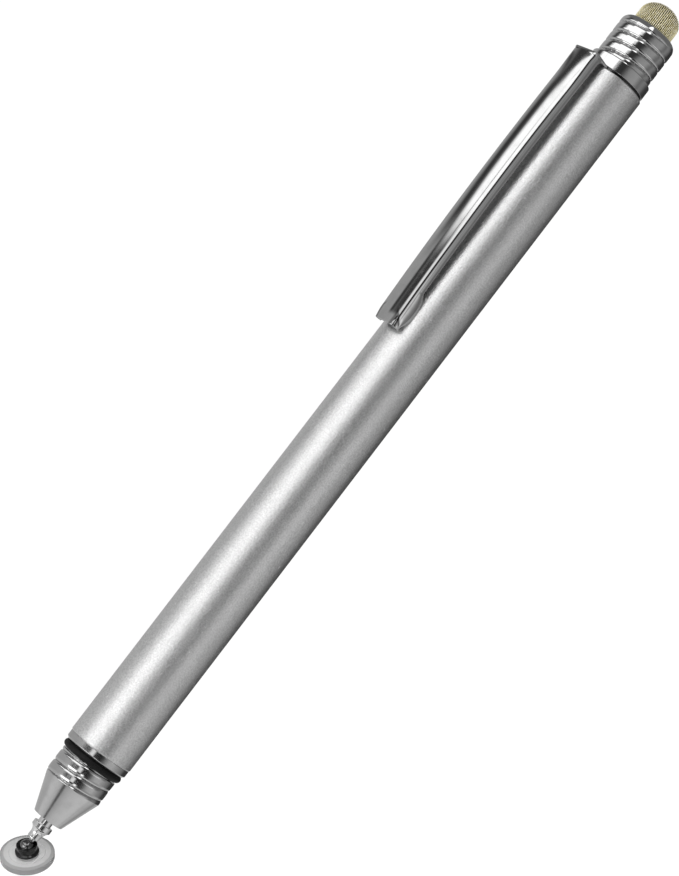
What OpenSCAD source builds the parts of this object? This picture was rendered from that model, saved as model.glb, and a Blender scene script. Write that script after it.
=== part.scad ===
// Two-ended stylus pen: a clear swivelling disc at one end and a knitted
// fibre tip at the other, with a sprung pocket clip on the barrel.
// The pen lies along X with the disc towards -X, the clip towards +Y and +Z up.
// The origin is on the pen's axis, at the middle of the front cap seat.

/* [Disc] */
// Diameter of the clear disc
disc_d = 6.8; // [6:0.1:7.2]
// Thickness of the clear disc
disc_t = 1.1; // [0.9:0.05:1.4]
// Rounding of the disc's lower edge
disc_edge_r = 0.35; // [0.1:0.05:0.5]
// Width of the sloping border round the disc's top face
disc_border_w = 0.45; // [0.2:0.05:0.8]
// Fall of the sloping border
disc_border_fall = 0.12; // [0.05:0.01:0.25]
// Lean of the disc's axis away from the pen's axis
disc_tilt = 49; // [0:1:50]
// Turn of that lean about the pen's axis, from the clip's side
disc_lean_dir = 8; // [0:1:359]

/* [Disc hub] */
// Diameter of the hub where it meets the disc
hub_base_d = 3.04; // [2.9:0.02:3.3]
// Diameter of the hub's rim
hub_rim_d = 2.64; // [2.56:0.02:2.8]
// Diameter of the mouth inside the rim
hub_mouth_d = 2.24; // [2.1:0.02:2.4]
// Height of the ball's centre above the disc
ball_rise = 0.85; // [0.7:0.01:0.9]
// Height of the rim above the ball's centre
hub_rim_rise = 0.34; // [0.3:0.01:0.38]
// Height of the socket's throat above the ball's centre
throat_rise = 0.25; // [0.2:0.01:0.27]
// Diameter of the hub's rivet shank through the disc
rivet_d = 2; // [1.6:0.05:2.2]
// Diameter of the rivet's foot in the underside of the disc
rivet_foot_d = 2.8; // [2.5:0.05:3.2]
// Thickness of the rivet's foot
rivet_foot_t = 0.3; // [0.2:0.02:0.4]

/* [Tip stem] */
// Diameter of the ball
ball_d = 1.9; // [1.8:0.02:1.92]
// Diameter of the neck behind the ball
neck_d = 0.76; // [0.6:0.02:0.8]
// Distance from the ball's centre to the stem's shoulder
ball_reach = 1.25; // [1.22:0.01:1.5]
// Diameter of the stem behind its shoulder
stem_d = 1.68; // [1.4:0.02:1.76]
// Length of the stem up to its flare
stem_len = 0.65; // [0.4:0.05:1]
// Length of the stem's flare
flare_len = 0.88; // [0.6:0.02:1.2]
// Diameter of the stem's collar
stem_collar_d = 2.64; // [2.3:0.02:3]
// Length of the stem's collar
stem_collar_len = 0.65; // [0.4:0.05:1]
// Length of shank that shows between the collar and the nose
shank_gap = 0.8; // [0.5:0.05:1.5]
// Diameter of the shank
shank_d = 1.82; // [1.5:0.02:2]
// Length of the shank inside the nose
shank_len = 8.2; // [5:0.1:8.4]

/* [Nose] */
// Diameter of the nose's front face
nose_tip_d = 4.16; // [3.6:0.02:4.6]
// Length of the cone
cone_len = 5.03; // [4:0.01:7]
// Step from the thread crests down to the cone's base
cone_base_step = 0.05; // [0.02:0.01:0.3]
// Step from the barrel down to the thread crests of both cap seats
seat_step = 0.53; // [0.5:0.01:0.7]
// Length of the front cap seat
front_seat_len = 3.36; // [3:0.02:5]
// Thickness of the front wall of the nose behind its face
nose_wall = 1.5; // [1:0.1:2]
// Step from the barrel down to the band in front of it
band_step = 0.08; // [0.02:0.01:0.2]
// Length of the band
band_len = 1.11; // [1:0.01:2]
// Bevel of the band's front edge
band_bevel = 0.25; // [0.1:0.01:0.3]

/* [Seal ring] */
// Thickness of the rubber ring
ring_section = 1; // [0.8:0.05:1.1]
// Step from the barrel down to the outside of the rubber ring
ring_step = 0.2; // [0.1:0.01:0.35]
// Spare length of the ring's groove
groove_spare = 0.19; // [0.1:0.01:0.3]

/* [Stem bush] */
// Diameter of the split bush that grips the shank
stem_bush_d = 3.6; // [3:0.05:4]
// Length of the split bush
stem_bush_len = 7; // [5:0.1:8]
// Width of the slits in the bush
slit_w = 0.4; // [0.2:0.05:0.6]
// Length of the slits in the bush
slit_len = 4.5; // [2:0.1:4.8]

/* [Barrel] */
// Diameter of the barrel
barrel_d = 9; // [8.1:0.05:10]
// Length of the barrel
barrel_len = 105.87; // [90:0.01:130]
// Wall of the barrel
barrel_wall = 0.5; // [0.35:0.05:0.7]
// Bevel on the barrel's ends
barrel_bevel = 0.12; // [0.05:0.01:0.2]

/* [Threaded inserts] */
// Wall of both inserts, from the barrel's bore to the spigots
insert_wall = 0.98; // [0.7:0.02:1.2]
// Length of the nose's spigot
nose_spigot_len = 8; // [6:0.1:12]
// Length of the front insert
front_insert_len = 9; // [7:0.1:14]
// Depth of the front insert below the barrel's end
front_insert_set = 0.3; // [0.1:0.1:1]
// Length of the rear insert
rear_insert_len = 9; // [7:0.1:14]

/* [Clip] */
// Overall length of the clip
clip_len = 42.65; // [30:0.05:60]
// Width of the clip
clip_w = 4.3; // [3.6:0.05:5]
// Sheet thickness of the clip
clip_sheet = 0.45; // [0.35:0.01:0.55]
// Height of the clip's crown above the barrel
clip_rise = 2.6; // [2.2:0.05:3.5]
// Depth of the folded channel from crown to edge
clip_depth = 1.57; // [1.3:0.01:1.8]
// Radius of the crown across the clip
crown_r = 6; // [5:0.1:12]
// Outer radius of the clip's folded corners
fold_r = 0.5; // [0.46:0.02:0.7]
// Radius of the clip's bow along its length
bow_r = 500; // [400:10:1000]
// Distance from the clip's root to the top of the bow
bow_peak = 15.5; // [8:0.1:22]
// Length of the cheeks that touch the barrel
cheek_len = 5.2; // [4:0.1:7]
// Distance from the clip's free end to its cheeks
cheek_set = 0.25; // [0.1:0.05:0.6]
// Radius of the bend at the clip's root
root_bend_r = 0.5; // [0.3:0.05:0.6]
// Radius of the curve that carries the channel's edges down to the root's wall
root_web_r = 0.75; // [0.4:0.05:0.8]
// Length of clip that stays with the root
root_len = 1.2; // [1:0.05:2]
// Step from the barrel down to the clip's ring
clip_ring_step = 0.12; // [0.05:0.01:0.3]
// Thickness of the clip's ring
clip_ring_t = 0.35; // [0.3:0.05:0.5]

/* [Rear collar] */
// Step from the barrel down to the flange behind the clip's ring
flange_step = 0.14; // [0.05:0.01:0.16]
// Length of the flange
flange_len = 1.7; // [1.4:0.05:2.5]
// Rounding of the flange's rear edge
flange_edge_r = 0.24; // [0.1:0.02:0.37]
// Length of the rear cap seat
rear_seat_len = 5.15; // [4:0.05:7]
// Length of the taper at the collar's end
taper_len = 1.04; // [0.6:0.02:1.5]
// Width of the collar's end face round the fibre tip
mouth_rim = 0.19; // [0.12:0.01:0.4]
// Length of the spigot that holds the collar in the barrel
collar_spigot_len = 8; // [6:0.1:8.5]

/* [Fibre tip] */
// Diameter of the knitted tip
fibre_d = 5.66; // [5.2:0.02:5.8]
// Length of the knitted tip that stands out of the collar
fibre_reach = 3.78; // [3:0.01:6]
// Height of the tip's dome
dome_h = 2.13; // [1.6:0.01:2.6]
// Thickness of the knitted fabric
fabric_t = 0.23; // [0.15:0.01:0.3]
// Depth of the tip's bore in the collar
tip_bore_depth = 5.7; // [5:0.05:7]
// Diameter of the holder where the fabric is crimped on it
holder_d = 3.7; // [3:0.05:4]
// Length of the crimped part of the holder
holder_len = 1.9; // [1.5:0.05:2.5]
// Diameter of the holder's stud inside the rubber core
stud_d = 2.2; // [1.6:0.05:2.6]
// Length of the holder's stud
stud_len = 3.4; // [2:0.05:4.5]
// Diameter of the holder's shank in the collar
holder_shank_d = 3; // [2.4:0.05:3.4]
// Length of the holder's shank
holder_shank_len = 7; // [4:0.1:9]
// Wall of the crimp ring
crimp_wall = 0.35; // [0.2:0.01:0.4]

/* [Clearances] */
// Radial gap of parts that are pressed or screwed together
fit_gap = 0.01; // [0.005:0.005:0.03]
// Radial gap of parts that turn on each other
run_gap = 0.02; // [0.01:0.005:0.03]
// Gap round the soft tip
soft_gap = 0.03; // [0.02:0.01:0.06]
// Gap between the clip's cheeks and the barrel
cheek_gap = 0.03; // [0.02:0.01:0.1]

/* [Hidden] */

// Smoothness of turned parts
$fn = 96;
// Smoothness of the clip's long bow, counted on the whole circle
bow_fn = 1440;
// Steps in a short arc
arc_steps = 8;
// Overlap used where one cut runs past another
eps = 0.05;

// Stations along the pen, from the disc end to the fibre tip
seat_front_x = -front_seat_len / 2;
seat_rear_x = front_seat_len / 2;
nose_tip_x = seat_front_x - cone_len;
band_x = seat_rear_x + ring_section + groove_spare;
barrel_x = band_x + band_len;
barrel_end_x = barrel_x + barrel_len;
flange_x = barrel_end_x + clip_ring_t;
rear_seat_x = flange_x + flange_len;
taper_x = rear_seat_x + rear_seat_len;
mouth_x = taper_x + taper_len;
fibre_end_x = mouth_x + fibre_reach;

// Stations of the stem, counted from the ball's centre
flare_start = ball_reach + stem_len;
collar_start = flare_start + flare_len;
collar_end = collar_start + stem_collar_len;
ball_x = nose_tip_x - shank_gap - collar_end;
bush_x = nose_tip_x + nose_wall;

// Radii that several pieces share
barrel_r = barrel_d / 2;
bore_r = barrel_r - barrel_wall;
insert_r = bore_r - fit_gap;
spigot_r = insert_r - insert_wall - fit_gap;
seat_r = barrel_r - seat_step;
ring_r = barrel_r - ring_step;
fibre_r = fibre_d / 2;
core_r = fibre_r - fabric_t;
tip_bore_r = fibre_r + soft_gap;
socket_r = ball_d / 2 + run_gap;

// Stations of the clip
clip_end_x = flange_x - clip_len;
clip_joint_x = flange_x - root_len;
bow_x = flange_x - bow_peak;
clip_crown_h = barrel_r + clip_rise;
bow_centre_y = clip_crown_h - bow_r;
half_w = clip_w / 2;

// Stations of the fibre tip
holder_x = mouth_x - tip_bore_depth;
core_x = holder_x + holder_len + soft_gap;
dome_x = fibre_end_x - dome_h;
sleeve_len = holder_len - 2 * fabric_t;

// Lays a turned piece along the pen, its own Z on the pen's X, from station x
module turned_at(x) {
    translate([x, 0, 0]) rotate([0, 90, 0]) rotate_extrude() children();
}

// Puts a piece in the disc's own frame: Z is the disc's axis, from the ball's centre
module in_disc_frame() {
    translate([ball_x, 0, 0]) rotate([disc_lean_dir, 0, 0]) rotate([0, 0, disc_tilt])
        rotate([0, 90, 0]) children();
}

// Points of an arc about a centre, from one angle to another
function arc(centre, r, from, to, steps = arc_steps) =
    [for (i = [0:steps]) centre + r * [cos(from + (to - from) * i / steps),
        sin(from + (to - from) * i / steps)]];

// Clear disc: rounded lower edge, sloping border and a stepped hole for the rivet
module disc() {
    r = disc_d / 2;
    foot_h = rivet_foot_t + 2 * fit_gap;
    color("lightgray", 0.6) in_disc_frame() translate([0, 0, -ball_rise - disc_t])
        rotate_extrude() polygon(concat(
            [[rivet_foot_d / 2 + fit_gap, 0]],
            arc([r - disc_edge_r, disc_edge_r], disc_edge_r, -90, 0),
            [[r, disc_t - disc_border_fall], [r - disc_border_w, disc_t],
             [rivet_d / 2 + fit_gap, disc_t], [rivet_d / 2 + fit_gap, foot_h],
             [rivet_foot_d / 2 + fit_gap, foot_h]]));
}

// Metal hub: cup with a funnel mouth over a ball socket, riveted through the disc
module disc_hub() {
    under = -ball_rise - disc_t;
    rim_round = (hub_rim_d - hub_mouth_d) / 4;
    throat_r = sqrt(pow(socket_r, 2) - pow(throat_rise, 2));
    color("silver") in_disc_frame() rotate_extrude() difference() {
        polygon(concat(
            [[0, under + fit_gap], [rivet_foot_d / 2, under + fit_gap],
             [rivet_foot_d / 2, under + fit_gap + rivet_foot_t],
             [rivet_d / 2, under + fit_gap + rivet_foot_t], [rivet_d / 2, -ball_rise],
             [hub_base_d / 2, -ball_rise], [hub_base_d / 2, rim_round - ball_rise]],
            arc([hub_rim_d / 2 - rim_round, hub_rim_rise - rim_round], rim_round, 0, 90),
            [[hub_mouth_d / 2, hub_rim_rise], [throat_r, throat_rise], [0, throat_rise]]));
        circle(r = socket_r);
        square([throat_r, throat_rise]);
    }
}

// Turned stem: ball, slim neck, shoulder, trumpet flare, collar and plain shank
module tip_stem() {
    grow = (stem_collar_d - stem_d) / 2;
    flare_angle = 2 * atan(grow / flare_len);
    flare_r = flare_len / sin(flare_angle);
    end = collar_end + shank_gap + shank_len;
    shank_r = shank_d / 2;
    color("silver") turned_at(ball_x) {
        intersection() {
            circle(r = ball_d / 2);
            translate([0, -ball_d]) square(2 * ball_d);
        }
        polygon(concat(
            [[0, 0], [neck_d / 2, 0], [neck_d / 2, ball_reach], [stem_d / 2, ball_reach]],
            arc([stem_d / 2 + flare_r, flare_start], flare_r, 180, 180 - flare_angle),
            [[stem_collar_d / 2, collar_end], [shank_r, collar_end],
             [shank_r, end - shank_r / 3], [shank_r * 2 / 3, end], [0, end]]));
    }
}

// Split bush in the nose: its four fingers grip the stem's shank
module stem_bush() {
    r_out = stem_bush_d / 2 - fit_gap;
    r_in = shank_d / 2 + run_gap;
    color("goldenrod") difference() {
        turned_at(bush_x) translate([r_in, 0]) square([r_out - r_in, stem_bush_len]);
        for (turn = [0, 90]) rotate([turn, 0, 0])
            translate([bush_x - eps, -slit_w / 2, -r_out - eps])
                cube([slit_len + eps, slit_w, 2 * (r_out + eps)]);
    }
}

// Nose: straight cone, cap seat, ring groove and band, with a screwed spigot behind
module nose_cone() {
    groove_r = ring_r - ring_section - run_gap;
    band_r = barrel_r - band_step;
    end_x = barrel_x + nose_spigot_len - nose_tip_x;
    bush_bore_r = stem_bush_d / 2;
    hole_r = shank_d / 2 + run_gap;
    color("silver") turned_at(nose_tip_x) polygon([
        [hole_r, 0], [nose_tip_d / 2, 0], [seat_r - cone_base_step, cone_len], [seat_r, cone_len],
        [seat_r, seat_rear_x - nose_tip_x], [groove_r, seat_rear_x - nose_tip_x],
        [groove_r, band_x - nose_tip_x], [band_r - band_bevel, band_x - nose_tip_x],
        [band_r, band_x + band_bevel - nose_tip_x], [band_r, barrel_x - nose_tip_x],
        [spigot_r, barrel_x - nose_tip_x], [spigot_r, end_x],
        [bush_bore_r, end_x], [bush_bore_r, nose_wall], [hole_r, nose_wall]]);
}

// Rubber ring that seals the cap, pressed against the band
module seal_ring() {
    color("black") turned_at(band_x - ring_section / 2)
        translate([ring_r - ring_section / 2, 0]) circle(d = ring_section);
}

// Threaded sleeve inside one end of the barrel
module insert(length) {
    r_in = spigot_r + fit_gap;
    translate([r_in, 0]) square([insert_r - r_in, length]);
}

module front_insert() {
    color("goldenrod") turned_at(barrel_x + front_insert_set) insert(front_insert_len);
}

module rear_insert() {
    color("goldenrod") turned_at(barrel_end_x - rear_insert_len) insert(rear_insert_len);
}

// Drawn aluminium tube with bevelled ends
module barrel() {
    bevel_r = barrel_r - barrel_bevel;
    color("lightgray") turned_at(barrel_x) polygon([
        [bore_r, 0], [bevel_r, 0], [barrel_r, barrel_bevel],
        [barrel_r, barrel_len - barrel_bevel], [bevel_r, barrel_len], [bore_r, barrel_len]]);
}

// Half of the clip's cross-section outline as [height from the bow's centre, width]:
// a crown arc that runs smoothly into a folded corner, then down to the edge.
// shrink moves the outline in by the sheet's thickness, and depth sets its edge.
function clip_half(shrink, depth) =
    let (corner_r = fold_r - shrink,
         crown = crown_r - shrink,
         corner_z = half_w - fold_r,
         corner_y = bow_r - crown_r + sqrt(pow(crown_r - fold_r, 2) - pow(corner_z, 2)),
         reach = asin(corner_z / (crown_r - fold_r)))
    concat(arc([bow_r - crown_r, 0], crown, 0, reach),
           arc([corner_y, corner_z], corner_r, reach, 90),
           [[bow_r - depth, half_w - shrink]]);

// The whole outline is that half and its mirror image
function clip_outline(shrink, depth) =
    let (half = clip_half(shrink, depth), n = len(half) - 1)
    concat(half, [for (i = [0:n - 1]) [half[n - i][0], -half[n - i][1]]]);

// Carries a cross-section along the clip's bow, a little past both ends
module along_bow() {
    front_angle = asin((bow_x - clip_end_x + 1) / bow_r);
    rear_angle = asin((flange_x + 1 - bow_x) / bow_r);
    translate([bow_x, bow_centre_y, 0]) rotate([0, 0, 90 - rear_angle])
        rotate_extrude(angle = front_angle + rear_angle, $fn = bow_fn) children();
}

// Everything between two stations, for trimming the clip
module between(x1, x2) {
    translate([x1, 0, -clip_w]) cube([x2 - x1, 2 * clip_crown_h, 2 * clip_w]);
}

// Clip blade: arched channel with two round cheeks that rest on the barrel
module clip_blade() {
    cheek_low = sqrt(pow(barrel_r, 2) - pow(half_w, 2));
    cheek_top = edge_h(clip_end_x + cheek_set + cheek_len / 2) + eps;
    sag = cheek_top - cheek_low;
    cheek_r = (pow(cheek_len / 2, 2) + pow(sag, 2)) / (2 * sag);
    color("silver") difference() {
        union() {
            intersection() {
                along_bow() difference() {
                    polygon(clip_outline(0, clip_depth));
                    polygon(clip_outline(clip_sheet, clip_depth + 1));
                }
                between(clip_end_x, clip_joint_x);
            }
            for (side = [-1, 1]) translate([0, 0, side * (half_w - clip_sheet / 2)])
                linear_extrude(clip_sheet, center = true) intersection() {
                    translate([clip_end_x + cheek_set + cheek_len / 2, cheek_low + cheek_r])
                        circle(r = cheek_r);
                    translate([clip_end_x + cheek_set, 0]) square([cheek_len, cheek_top + eps]);
                }
        }
        rotate([0, 90, 0]) cylinder(r = barrel_r + cheek_gap, h = 2 * barrel_end_x);
    }
}

// Height of the channel's edge above the pen's axis at station x
function edge_h(x) = bow_centre_y + sqrt(pow(bow_r - clip_depth, 2) - pow(x - bow_x, 2));

// Clip root: ring clamped behind the barrel, upright wall and the bend into the blade
module clip_root() {
    crown_h = bow_centre_y + sqrt(pow(bow_r, 2) - pow(flange_x - bow_x, 2));
    web_h = edge_h(barrel_end_x);
    hole_r = spigot_r + fit_gap;
    color("silver") difference() {
        union() {
            turned_at(barrel_end_x) square([barrel_r - clip_ring_step, clip_ring_t]);
            intersection() {
                along_bow() polygon(clip_outline(0, clip_crown_h));
                translate([0, 0, -clip_w]) linear_extrude(2 * clip_w) polygon(concat(
                    [[clip_joint_x, web_h]],
                    arc([barrel_end_x - root_web_r, web_h - root_web_r], root_web_r, 90, 0),
                    [[barrel_end_x, spigot_r], [flange_x, spigot_r]],
                    arc([flange_x - root_bend_r, crown_h - root_bend_r], root_bend_r, 0, 90),
                    [[clip_joint_x, clip_crown_h]]));
            }
        }
        intersection() {
            along_bow() polygon(clip_outline(clip_sheet, clip_crown_h));
            between(clip_joint_x - 1, barrel_end_x);
        }
        turned_at(barrel_end_x - eps) square([hole_r, clip_ring_t + 2 * eps]);
    }
}

// Collar: flange, cap seat, taper to a thin mouth, and the spigot that clamps the clip
module rear_collar() {
    start = flange_x - collar_spigot_len;
    flange_r = barrel_r - flange_step;
    shank_bore_r = holder_shank_d / 2 + fit_gap;
    color("silver") turned_at(start) polygon(concat(
        [[shank_bore_r, 0], [spigot_r, 0], [spigot_r, collar_spigot_len],
         [flange_r, collar_spigot_len]],
        arc([flange_r - flange_edge_r, rear_seat_x - start - flange_edge_r],
            flange_edge_r, 0, 90),
        [[seat_r, rear_seat_x - start], [seat_r, taper_x - start],
         [tip_bore_r + mouth_rim, mouth_x - start], [tip_bore_r, mouth_x - start],
         [tip_bore_r, holder_x - start], [shank_bore_r, holder_x - start]]));
}

// Holder of the fibre tip: shank in the collar, crimped head and stud in the core
module tip_holder() {
    color("goldenrod") turned_at(holder_x - holder_shank_len) polygon([
        [0, 0], [holder_shank_d / 2, 0], [holder_shank_d / 2, holder_shank_len],
        [holder_d / 2, holder_shank_len], [holder_d / 2, holder_shank_len + holder_len],
        [stud_d / 2, holder_shank_len + holder_len],
        [stud_d / 2, holder_shank_len + holder_len + stud_len],
        [0, holder_shank_len + holder_len + stud_len]]);
}

// Domed end as [radius, station]: an ellipse quarter from the side to the tip
function dome(r, h, start) =
    [for (i = [0:2 * arc_steps]) [r * cos(90 * i / (2 * arc_steps)),
        start + h * sin(90 * i / (2 * arc_steps))]];

// Rubber core with a blind hole for the holder's stud
module tip_core() {
    hole_end = stud_len + soft_gap;
    color("dimgray") turned_at(core_x) polygon(concat(
        [[stud_d / 2 + fit_gap, 0], [core_r - fit_gap, 0]],
        dome(core_r - fit_gap, dome_h - fabric_t - fit_gap, dome_x - core_x),
        [[0, hole_end], [stud_d / 2 + fit_gap, hole_end]]));
}

// Knitted fabric: a thin cap over the core, drawn in to a sleeve round the holder
module tip_fabric() {
    sleeve_r = holder_d / 2 + fit_gap;
    start = holder_x + soft_gap;
    inner = dome(core_r, dome_h - fabric_t, dome_x - start);
    color("darkkhaki") turned_at(start) polygon(concat(
        [[sleeve_r + fabric_t, 0], [sleeve_r + fabric_t, sleeve_len],
         [fibre_r, sleeve_len + fabric_t]],
        dome(fibre_r, dome_h, dome_x - start),
        [for (i = [len(inner) - 1:-1:0]) inner[i]],
        [[core_r, holder_len - soft_gap], [sleeve_r, holder_len - soft_gap], [sleeve_r, 0]]));
}

// Ring crimped over the fabric's sleeve
module crimp_ring() {
    r_in = holder_d / 2 + fabric_t + 2 * fit_gap;
    color("silver") turned_at(holder_x + soft_gap) translate([r_in, 0])
        square([crimp_wall, sleeve_len - soft_gap]);
}

disc();
disc_hub();
tip_stem();
stem_bush();
nose_cone();
seal_ring();
front_insert();
barrel();
rear_insert();
clip_root();
clip_blade();
rear_collar();
tip_holder();
tip_core();
tip_fabric();
crimp_ring();
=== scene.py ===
"""Looks of a two-ended stylus pen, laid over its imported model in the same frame.

The pen lies along X with the disc towards -X, its pocket clip towards +Y and +Z up.
Sizes are in millimetres, as on a maker's drawing, and become metres when a mesh is made.
"""

import logging
import math
from dataclasses import dataclass
from enum import Enum
from typing import Callable, Iterator

import bmesh
import bpy
import numpy as np
from mathutils import Matrix

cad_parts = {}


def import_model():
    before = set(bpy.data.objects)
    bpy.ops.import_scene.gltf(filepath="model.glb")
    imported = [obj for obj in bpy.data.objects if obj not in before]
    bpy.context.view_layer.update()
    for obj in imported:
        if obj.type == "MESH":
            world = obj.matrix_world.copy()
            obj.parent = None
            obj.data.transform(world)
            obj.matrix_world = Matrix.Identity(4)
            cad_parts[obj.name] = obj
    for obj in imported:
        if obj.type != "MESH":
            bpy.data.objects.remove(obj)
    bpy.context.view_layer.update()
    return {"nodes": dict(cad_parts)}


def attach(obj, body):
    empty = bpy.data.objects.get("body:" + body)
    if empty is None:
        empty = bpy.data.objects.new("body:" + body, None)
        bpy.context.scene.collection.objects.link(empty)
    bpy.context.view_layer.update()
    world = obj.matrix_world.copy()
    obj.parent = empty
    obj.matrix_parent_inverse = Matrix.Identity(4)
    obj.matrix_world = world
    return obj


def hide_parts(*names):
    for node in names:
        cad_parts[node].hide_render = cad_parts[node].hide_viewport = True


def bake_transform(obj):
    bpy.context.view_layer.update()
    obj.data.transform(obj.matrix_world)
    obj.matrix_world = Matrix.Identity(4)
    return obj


LOG = logging.getLogger("stylus_pen")
MM = 0.001
# Cosine and sine of the line of sight's 40 degrees from straight up, on the clip's side
VIEW_COS, VIEW_SIN = 0.766, 0.643
Array = np.ndarray
Colour = tuple[float, float, float, float]
Levels = tuple[tuple[float, float], ...]


def grey(value: float) -> Colour:
    """A neutral colour of that brightness."""
    return (value, value, value, 1.0)


# Surfaces


def rows(*columns: Array | float) -> Array:
    """Columns of numbers side by side. A single number stands for a whole column."""
    return np.stack(np.broadcast_arrays(*columns), axis=-1)


def smooth(value: Array) -> Array:
    """Runs smoothly from 0 to 1 while the value does: 3 v squared less 2 v cubed."""
    v = np.clip(value, 0, 1)
    return v * v * (3 - 2 * v)


def add_to_scene(name: str, data: bpy.types.ID) -> bpy.types.Object:
    """Puts an object into the scene.

    Args:
        name: its name.
        data: the mesh, camera or light.

    Returns:
        The object.
    """
    thing = bpy.data.objects.new(name, data)
    bpy.context.scene.collection.objects.link(thing)
    return thing


class Surface:
    """A mesh in the making: points in millimetres and the four-sided faces between them."""

    def __init__(self, points: Array, quads: Array) -> None:
        """Keeps the points, one row each, and the faces, four point numbers each."""
        self.points = points
        self.quads = quads

    @classmethod
    def grid(cls, points: Array, wrap_rows: bool = False, wrap_columns: bool = False) -> "Surface":
        """Joins each point of a grid to its neighbours.

        Args:
            points: the grid, rows by columns by three.
            wrap_rows: joins the last row to the first.
            wrap_columns: joins the last column to the first.

        Returns:
            The surface.
        """
        high, wide = points.shape[:2]
        row, column = np.meshgrid(np.arange(high - (not wrap_rows)),
                                  np.arange(wide - (not wrap_columns)), indexing="ij")
        next_row, next_column = (row + 1) % high, (column + 1) % wide
        corners = ((row, column), (row, next_column), (next_row, next_column), (next_row, column))
        quads = rows(*(r * wide + c for r, c in corners))
        return cls(points.reshape(-1, 3), quads.reshape(-1, 4))

    @classmethod
    def turned(cls, profile: Array, steps: int = 192, closed: bool = True,
               radius_at: Callable[[Array, Array, Array], Array] | None = None) -> "Surface":
        """Turns a profile about the X axis.

        A point at station x and radius r becomes (x, r cos a, r sin a) for every angle a.

        Args:
            profile: stations and radii, one row each.
            steps: how many angles there are.
            closed: joins the profile's last point to its first.
            radius_at: turns station, radius and angle into the radius used.

        Returns:
            The surface.
        """
        angle = np.linspace(0, 2 * math.pi, steps, endpoint=False)
        x, radius = (np.repeat(column[:, None], steps, axis=1) for column in profile.T)
        if radius_at is not None:
            radius = radius_at(x, radius, angle)
        points = rows(x, radius * np.cos(angle), radius * np.sin(angle))
        return cls.grid(points, wrap_rows=closed, wrap_columns=True)

    def __add__(self, other: "Surface") -> "Surface":
        """Both surfaces as one mesh."""
        return Surface(np.concatenate([self.points, other.points]),
                       np.concatenate([self.quads, other.quads + len(self.points)]))

    def to_object(self, name: str, crease: float = 32.0,
                  values: dict[str, Array] | None = None) -> bpy.types.Object:
        """Makes the Blender object, with seams and poles closed and its faces outwards.

        Args:
            name: its name.
            crease: edges that turn by more degrees than this stay sharp.
            values: numbers to keep at every point, by attribute name.

        Returns:
            The object.
        """
        mesh = bpy.data.meshes.new(name)
        mesh.from_pydata((self.points * MM).tolist(), [], self.quads.tolist())
        for key, numbers in (values or {}).items():
            mesh.attributes.new(key, "FLOAT", "POINT").data.foreach_set("value", numbers.ravel())
        work = bmesh.new()
        work.from_mesh(mesh)
        bmesh.ops.remove_doubles(work, verts=work.verts, dist=2e-7)
        bmesh.ops.dissolve_degenerate(work, edges=work.edges, dist=1e-8)
        bmesh.ops.recalc_face_normals(work, faces=work.faces)
        work.to_mesh(mesh)
        work.free()
        mesh.shade_smooth()
        mesh.set_sharp_from_angle(angle=math.radians(crease))
        return add_to_scene(name, mesh)


def outline(corners: list[tuple[float, float, float]], closed: bool = False,
            arc_points: int = 7) -> Array:
    """Rounds the corners of a profile.

    Each corner is a station, a radius and a rounding: the arc that touches both sides, and takes
    less than half of either. A support point on each side of an arc keeps the flat stretches
    flat when the mesh is shaded smooth.

    Args:
        corners: the corners in order.
        closed: the profile runs back to its first corner.
        arc_points: points in each arc.

    Returns:
        Stations and radii, one row each.
    """
    arc_share, support, support_share = 0.46, 0.05, 0.3
    points = np.array([corner[:2] for corner in corners], dtype=float)
    runs: list[Array] = []
    neighbours = zip(points, np.roll(points, 1, axis=0), np.roll(points, -1, axis=0))
    for i, (here, before, after) in enumerate(neighbours):
        rounding = corners[i][2]
        if rounding <= 0 or (not closed and i in (0, len(points) - 1)):
            runs.append(here[None])
            continue
        back, ahead = before - here, after - here
        long_back, long_ahead = np.linalg.norm(back), np.linalg.norm(ahead)
        back, ahead = back / long_back, ahead / long_ahead
        half = 0.5 * math.acos(float(np.clip(back @ ahead, -1, 1)))
        reach = min(rounding / math.tan(half), arc_share * long_back, arc_share * long_ahead)
        r = reach * math.tan(half)
        middle = back + ahead
        centre = here + middle / np.linalg.norm(middle) * r / math.sin(half)
        turn = np.linspace(-1, 1, arc_points)[:, None] * (math.pi / 2 - half)
        inward = (here - centre) / np.linalg.norm(here - centre)
        sideways = (ahead - back) / np.linalg.norm(ahead - back)
        arc = centre + r * (np.cos(turn) * inward + np.sin(turn) * sideways)
        back *= min(support, support_share * (long_back - reach))
        ahead *= min(support, support_share * (long_ahead - reach))
        runs += [arc[:1] + back, arc, arc[-1:] + ahead]
    return np.vstack(runs)


# Shaders


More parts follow.
